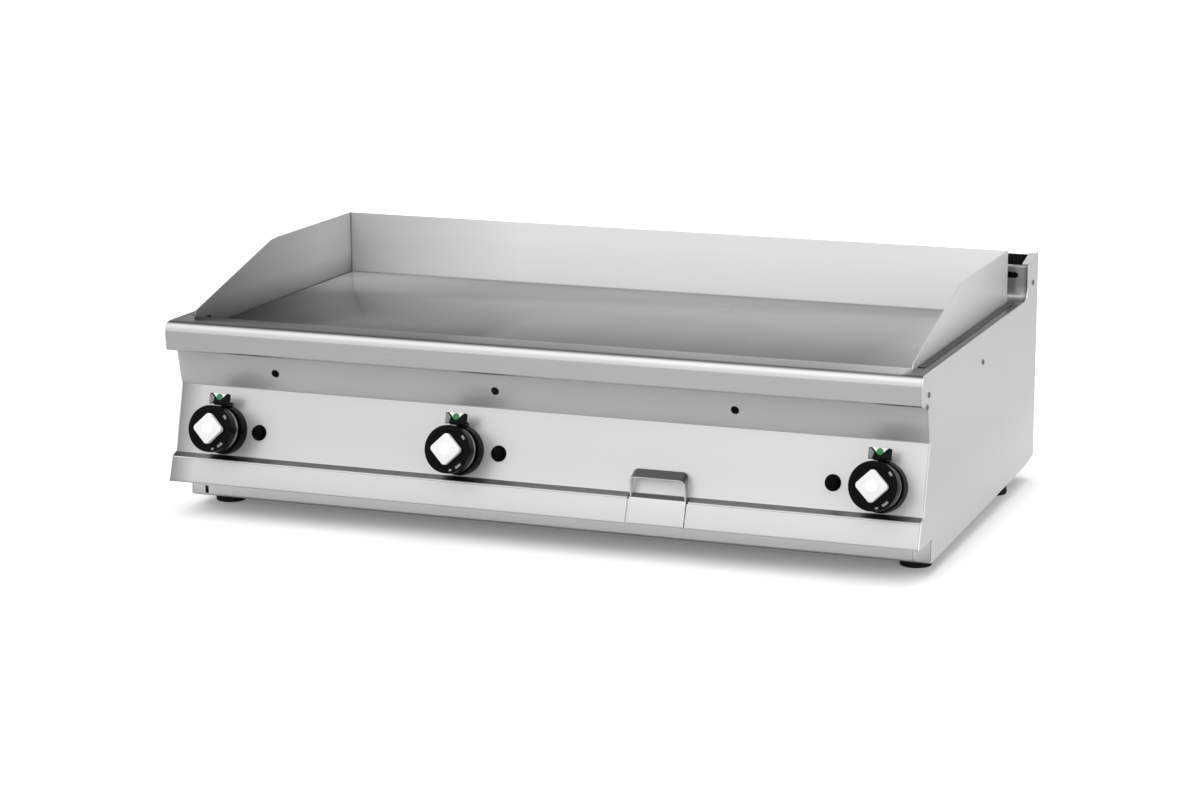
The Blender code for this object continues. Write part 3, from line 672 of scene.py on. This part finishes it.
def rounded_square(side, corner, steps=8):
    """Outline of a square with round corners, about the origin."""
    half = side / 2.0 - corner
    points = []
    for quarter, (sx, sy) in enumerate(((1, 1), (-1, 1), (-1, -1), (1, -1))):
        for step in range(steps + 1):
            angle = math.pi / 2.0 * (quarter + step / steps)
            points.append((sx * half + corner * math.cos(angle),
                           sy * half + corner * math.sin(angle)))
    return points


def stud(radius, top, foot, rounding):
    """Profile of a low round stud, closed at both ends."""
    side = rounded_path([(0.0, top), (radius, top), (radius, foot)], (rounding,))
    return side + [Vector((0.0, foot))]


def arc_band(inner, outer, start, end, steps=10):
    """Outline of a short band round the origin, angles in degrees."""
    points = []
    for radius, first, last in ((outer, start, end), (inner, end, start)):
        for step in range(steps + 1):
            angle = math.radians(first + (last - first) * step / steps)
            points.append((radius * math.cos(angle), radius * math.sin(angle)))
    return points


# ---------------------------------------------------------------- controls
KNOB_JOINT = JOINTS["knob_turn_1"]
OUTWARD = Vector(KNOB_JOINT["axis"]).normalized()
ACROSS = Vector((1.0, 0.0, 0.0))
UPWARD = OUTWARD.cross(ACROSS)

# Printed marks on the knob's rim: label, angles from and to in degrees, inner radius in mm
KNOB_MARKS = (
    ("full", 32.0, 44.0, 29.6),
    ("low", -58.0, -40.0, 29.6),
    ("pilot", -78.0, -70.0, 30.4),
)

# Flat parts of the index lug: label, outline, low and high end, bevel, material; mm
LUG_PARTS = (
    ("lug", ((-LUG_HALF, 38.5), (LUG_HALF, 38.5), (LUG_HALF, 54.5), (12.5, 55.5), (3.0, 46.0),
             (-3.0, 46.0), (-12.5, 55.5), (-LUG_HALF, 54.5)), LUG_FOOT, LUG_TOP, 1.0, "bezel"),
    ("foot", ((-10.0, 37.0), (10.0, 37.0), (10.0, 43.0), (-10.0, 43.0)),
     2.0, LUG_FOOT + 0.5, 0.4, "bezel"),
    ("notch", ((-2.8, 46.2), (2.8, 46.2), (11.9, 55.2), (-11.9, 55.2)),
     LUG_FOOT + 0.4, LUG_TOP - 0.6, 0.4, "white"),
    # The grey left flank is painted light: the lug's lit side.
    ("lit_side_painted", ((-16.2, 39.5), (-11.0, 39.5), (-8.5, 48.5), (-13.0, 53.6), (-16.2, 53.4)),
     LUG_TOP - 1.0, LUG_TOP + 0.2, 0.15, "mark"),
)


def face_matrix(x):
    """Frame on the control panel at the height of the controls: Z out of the panel, Y up it."""
    place = Vector((x, KNOB_JOINT["pos_m"][1], KNOB_JOINT["pos_m"][2]))
    turn = Matrix((ACROSS, UPWARD, OUTWARD)).transposed().to_4x4()
    return Matrix.Translation(place) @ turn


def make_knob(number, matrix):
    """Knob bored for its stem: black head, satin skirt, black hub, and a white cap on top."""
    body = f"knob_{number}"
    inner = SKIRT_RADIUS - 1.0
    head = rounded_path([(0.0, KNOB_FACE), (27.6, KNOB_FACE), (28.4, KNOB_FRONT),
                         (KNOB_RADIUS, KNOB_FRONT), (KNOB_RADIUS, HEAD_FOOT),
                         (inner, HEAD_FOOT), (inner, HEAD_STEP), (BORE, HEAD_STEP),
                         (BORE, BORE_END), (0.0, BORE_END)],
                        (0.3, 0.3, 1.8, 0.8, 0.0, 0.0, 0.0, 0.0))
    main = piece(f"knob_head_{number}", turned_mesh("knob_head", head), "knob", body, matrix)
    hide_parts(f"knob_{number}")
    inner = SKIRT_RADIUS - SKIRT_WALL
    skirt = rounded_path([(BORE, SKIRT_TOP), (SKIRT_RADIUS, SKIRT_TOP), (SKIRT_RADIUS, SKIRT_FOOT),
                          (inner, SKIRT_FOOT), (inner, SKIRT_FLOOR), (BORE, SKIRT_FLOOR)],
                         (0.5, 0.7, 0.5, 0.0))
    piece(f"knob_skirt_{number}", turned_mesh("knob_skirt", skirt), "skirt", body, matrix)
    hub = rounded_path([(BORE, HUB_TOP), (HUB_RADIUS, HUB_TOP), (HUB_RADIUS, HUB_FOOT),
                        (BORE, HUB_FOOT)], (0.5, 0.8))
    piece(f"knob_hub_{number}", turned_mesh("knob_hub", hub, 48), "knob", body, matrix)
    turn = matrix @ Matrix.Rotation(math.pi / 4.0, 4, "Z")
    outline = rounded_square(CAP_SIDE, CAP_CORNER)
    top = piece(f"knob_button_{number}", slab_mesh("knob_cap", outline, CAP_FOOT, CAP_TOP, 1.6, 4),
                "cap", body, turn)
    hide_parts(f"knob_cap_{number}")
    disc = stud(DISC_RADIUS, CAP_TOP + 0.35, CAP_TOP - 0.3, 0.5)
    piece(f"knob_disc_{number}", turned_mesh("knob_disc", disc, 64), "white", body, matrix)
    for label, start, end, inner in KNOB_MARKS:
        band = slab_mesh("mark", arc_band(inner, MARK_RADIUS, start, end),
                         KNOB_FRONT - 0.2, KNOB_FRONT + 0.15)
        piece(f"knob_mark_{label}_{number}", band, "mark", body, matrix)


def make_bezel(number, matrix):
    """Ring round the stem with its forked index lug, white notch and green dot."""
    ring = rounded_path([(11.0, 0.3), (11.0, 7.5), (31.0, 7.5), (33.0, 16.0), (36.2, 16.0),
                         (BEZEL_RADIUS, 3.0), (BEZEL_RADIUS, 0.3)], (0.6, 1.5, 0.8, 1.0, 0.8))
    main = piece(f"bezel_ring_{number}", turned_mesh("bezel_ring", ring), "bezel", "root", matrix)
    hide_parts(f"knob_bezel_{number}")
    for label, outline, low, high, bevel, material in LUG_PARTS:
        mesh = slab_mesh(f"index_{label}", outline, low, high, bevel)
        piece(f"index_{label}_{number}", mesh, material, "root", matrix, 40.0)
    dot = stud(DOT_RADIUS, LUG_TOP + 0.1, LUG_TOP - 2.0, 0.8)
    spot = matrix @ Matrix.Translation(Vector((0.0, DOT_PLACE, 0.0)) * MM)
    piece(f"index_dot_{number}", turned_mesh("index_dot", dot, 48), "green", "root", spot)


def make_igniter(number, matrix):
    """Piezo igniter: flanged body and the button standing in it."""
    flange = rounded_path([(9.3, -9.0), (9.3, 3.0), (11.4, 3.0), (12.4, 0.3), (11.0, 0.3),
                           (11.0, -9.0)], (0.5, 0.9, 0.0, 0.0))
    ring = piece(f"igniter_flange_{number}", turned_mesh("igniter_flange", flange, 72), "igniter",
                 "root", matrix)
    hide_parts(f"igniter_body_{number}")
    barrel = rounded_path([(0.0, -9.2), (11.0, -9.2), (11.0, -42.0), (0.0, -42.0)], (0.6, 1.0))
    piece(f"igniter_barrel_{number}", turned_mesh("igniter_barrel", barrel, 32), "igniter", "root",
          matrix)
    button = rounded_path([(0.0, 9.3), (8.9, 9.3), (8.9, -3.0), (0.0, -3.0)], (2.6, 0.4))
    top = piece(f"igniter_knob_{number}", turned_mesh("igniter_knob", button, 64), "igniter",
                f"button_{number}", matrix)
    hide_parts(f"igniter_button_{number}")


def middle_x(node):
    """X of the middle of a CAD node."""
    low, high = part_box(node)
    return (low.x + high.x) / 2.0


for number in (1, 2, 3):
    knob_face = face_matrix(middle_x(f"valve_stem_{number}"))
    make_knob(number, knob_face)
    make_bezel(number, knob_face)
    make_igniter(number, face_matrix(middle_x(f"igniter_button_{number}")))


# ---------------------------------------------------------------- trims and fixings
FRONT = -0.3505                     # world Y of the worktop's front edge
LEDGE_FRONT = (11.0, 94.0)          # depth and height of the lower panel's two bends, mm
SKIRT_BOTTOM = (-2.5, 55.5)
PANEL_INNER = 597.0                 # half the length of the trims between the side panels
SIDE_FACE = 600.0                   # outside of the side panels from the middle
REAR_FACE = 705.0                   # depth of the rear panel's outside
FLUE_DEPTHS = (700.8, 702.4)
SIDE_SCREWS = ((36.0, 275.0), (27.0, 259.0), (350.0, 262.0), (671.0, 330.0))    # depth, height
REAR_SCREWS = ((-585.0, 352.0), (0.0, 352.0), (585.0, 352.0), (-585.0, 55.0), (0.0, 55.0),
               (585.0, 55.0), (-585.0, 205.0), (585.0, 205.0))                  # X, height


def slab(name, low, high, material, body="root", bevel=0.3):
    """Flat bar between two corners in mm, depths from the front, with rounded top edges."""
    outline = [(low[0], low[1]), (high[0], low[1]), (high[0], high[1]), (low[0], high[1])]
    mesh = slab_mesh(name, outline, low[2], high[2], bevel)
    place = Matrix.Translation(Vector((0.0, FRONT, 0.0)))
    return piece(name, mesh, material, body, place, 40.0)


def make_screw(name, x, depth, height, axis, angle):
    """Low pan head screw with a socket; its head stands on a panel, turned about one axis."""
    head = rounded_path([(0.0, 0.7), (1.5, 0.7), (1.5, 1.6), (4.2, 1.6), (4.2, 0.05), (0.0, 0.05)],
                        (0.1, 0.2, 1.1, 0.0))
    place = Matrix.Translation(Vector((x * MM, FRONT + depth * MM, height * MM)))
    turn = Matrix.Rotation(math.radians(angle), 4, axis)
    piece(name, turned_mesh(name, head, 32), "screw", "root", place @ turn)


def make_jamb(name, near, far):
    """Strip behind one of the gaps beside the drawer front, parallel to the lower panel."""
    depth, height = SKIRT_BOTTOM
    rise = Vector((0.0, LEDGE_FRONT[0] - depth, LEDGE_FRONT[1] - height)).normalized()
    turn = Matrix((ACROSS, rise, ACROSS.cross(rise))).transposed().to_4x4()
    place = Matrix.Translation(Vector((0.0, FRONT + depth * MM, height * MM))) @ turn
    outline = [(near, 2.6), (far, 2.6), (far, 38.0), (near, 38.0)]
    piece(name, slab_mesh(name, outline, -3.05, -2.08, 0.2), "panel", "root", place)


def make_lip(name, start, end):
    """Filler of the groove between the front edge of the ledge and the lower panel."""
    turn = Matrix((Vector((0.0, 1.0, 0.0)), Vector((0.0, 0.0, 1.0)), ACROSS)).transposed().to_4x4()
    outline = [(10.25, 91.65), (11.6, 92.25), (11.0, 93.75)]
    place = Matrix.Translation(Vector((0.0, FRONT, 0.0))) @ turn
    piece(name, slab_mesh(name, outline, start, end), "panel", "root", place)


front, back = FLUE_DEPTHS
for side, sign in (("left", -1.0), ("right", 1.0)):
    near, far = sorted((sign * 575.0, sign * 586.0))
    # Dark strips on the wings along the guard's foot: painted shadow where the guard meets the
    # worktop.
    slab(f"guard_foot_shadow_strip_{side}", (near, 66.0, 307.1), (far, 606.0, 308.3), "foot_shadow",
         "guard", 0.5)
    # Near-black sheets at the flue's openings: painted shade for the dark inside the flue.
    near, far = sorted((sign * 561.5, sign * 596.0))
    slab(f"flue_lining_{side}", (near, front, 305.0), (far, back, 344.0), "flue_shade_black")
    near, far = sorted((sign * 535.0, sign * 596.0))
    slab(f"flue_lip_{side}", (near, front, 344.3), (far, back, 368.8), "flue_shade_black")
slab("panel_seam", (-PANEL_INNER, 50.8, 201.3), (PANEL_INNER, 52.0, 203.0), "recess")
slab("toe_backing", (556.0, 74.5, 21.0), (590.0, 75.3, 38.0), "base")
make_lip("ledge_lip_left", -PANEL_INNER, 154.0)
make_lip("ledge_lip_right", 249.0, PANEL_INNER)
make_jamb("drawer_jamb_left", 151.5, 157.1)
make_jamb("drawer_jamb_right", 245.9, 251.5)
for number, (depth, height) in enumerate(SIDE_SCREWS, 1):
    make_screw(f"side_screw_right_{number}", SIDE_FACE, depth, height, "Y", 90.0)
    if number > 2:                  # the left panel has no screws near its front
        make_screw(f"side_screw_left_{number}", -SIDE_FACE, depth, height, "Y", -90.0)
for number, (x, height) in enumerate(REAR_SCREWS, 1):
    make_screw(f"rear_screw_{number}", x, REAR_FACE, height, "X", -90.0)


# ---------------------------------------------------------------- studio
FLOOR_SIZE = 60.0
LIGHT_AIM = (0.0, 0.0, 0.2)
LIGHTS = (                          # name, place, width and height, watts
    ("key", (-1.6, -3.2, 3.2), (2.6, 1.8), 42.0),
    ("top", (0.4, 0.6, 3.4), (3.0, 2.0), 60.0),
)


def make_floor():
    """Pale floor, wide enough to fill every view, that glows for camera rays: painted light."""
    mesh = bpy.data.meshes.new("floor")
    bm = bmesh.new()
    bmesh.ops.create_grid(bm, x_segments=1, y_segments=1, size=FLOOR_SIZE)
    bm.to_mesh(mesh)
    bm.free()
    floor = bpy.data.objects.new("floor", mesh)
    bpy.context.scene.collection.objects.link(floor)
    material, nodes, links = node_tree("floor_white")
    seen = nodes["Principled BSDF"]
    seen.inputs["Base Color"].default_value = (0.82, 0.82, 0.82, 1.0)
    seen.inputs["Specular IOR Level"].default_value = 0.0
    seen.inputs["Emission Color"].default_value = (1.0, 1.0, 1.0, 1.0)
    coords = add(nodes, "ShaderNodeTexCoord")
    far = add(nodes, "ShaderNodeVectorMath")
    far.operation = "LENGTH"
    links.new(coords.outputs["Object"], far.inputs[0])
    # Painted light: the glow is weak near the griddle and strong far off, which lightens its
    # shadow.
    glow = ranged(nodes, links, far.outputs["Value"], 0.15, 0.70, 1.2, 4.0)
    links.new(glow, seen.inputs["Emission Strength"])
    lit = add(nodes, "ShaderNodeBsdfDiffuse")
    lit.inputs["Color"].default_value = (0.52, 0.52, 0.52, 1.0)
    ray = add(nodes, "ShaderNodeLightPath")
    mix = add(nodes, "ShaderNodeMixShader")
    links.new(ray.outputs["Is Camera Ray"], mix.inputs[0])
    links.new(lit.outputs[0], mix.inputs[1])
    links.new(seen.outputs[0], mix.inputs[2])
    links.new(mix.outputs[0], nodes["Material Output"].inputs["Surface"])
    mesh.materials.append(material)


def make_world():
    """Soft studio: bright in front and low behind, with a dark ceiling towards the back."""
    world = bpy.data.worlds.new("studio")
    bpy.context.scene.world = world
    world.use_nodes = True
    nodes, links = world.node_tree.nodes, world.node_tree.links
    coords = add(nodes, "ShaderNodeTexCoord")
    axes = add(nodes, "ShaderNodeSeparateXYZ")
    links.new(coords.outputs["Generated"], axes.inputs[0])
    y, z = axes.outputs["Y"], axes.outputs["Z"]
    level = ranged(nodes, links, y, 1.25, 0.80, -0.6, 0.8)
    ceiling = product(nodes, links,
                      ranged(nodes, links, y, 0.0, 0.70, 0.0, 0.45),
                      ranged(nodes, links, z, 0.0, 1.0, 0.35, 0.70))
    level = product(nodes, links, level, rest(nodes, links, ceiling))
    softbox = product(nodes, links,
                      ranged(nodes, links, y, 0.55, 0.0, -0.15, 0.10),
                      ranged(nodes, links, z, 0.0, 1.0, 0.45, 0.80))
    level = maths(nodes, links, "ADD", level, softbox)
    ray = add(nodes, "ShaderNodeLightPath")
    level = mixed(nodes, links, ray.outputs["Is Camera Ray"], level, (1.1, 1.1, 1.1))
    backdrop = nodes["Background"]
    links.new(level, backdrop.inputs["Strength"])
    backdrop.inputs["Color"].default_value = (1.0, 1.0, 1.0, 1.0)


def soft_light(name, place, aim, size, power):
    """Area light turned towards a point and kept out of reflections."""
    data = bpy.data.lights.new(name, "AREA")
    data.shape = "RECTANGLE"
    data.size, data.size_y = size
    data.energy = power
    lamp = bpy.data.objects.new(name, data)
    lamp.location = place
    lamp.rotation_euler = (Vector(aim) - Vector(place)).to_track_quat("-Z", "Y").to_euler()
    lamp.visible_glossy = False
    bpy.context.scene.collection.objects.link(lamp)


def make_camera():
    """Camera of the main view."""
    data = bpy.data.cameras.new("camera")
    data.lens = CAMERA_LENS
    data.sensor_width = SENSOR
    data.clip_end = 200.0
    camera = bpy.data.objects.new("camera", data)
    camera.location = CAMERA_PLACE
    look = (CAMERA_AIM - CAMERA_PLACE).to_track_quat("-Z", "Y")
    camera.rotation_euler = (look.to_matrix() @ Matrix.Rotation(CAMERA_ROLL, 3, "Z")).to_euler()
    bpy.context.scene.collection.objects.link(camera)
    bpy.context.scene.camera = camera


make_floor()
make_world()
for label, place, size, power in LIGHTS:
    soft_light(label, place, LIGHT_AIM, size, power)
make_camera()
bpy.context.scene.view_settings.view_transform = "Standard"
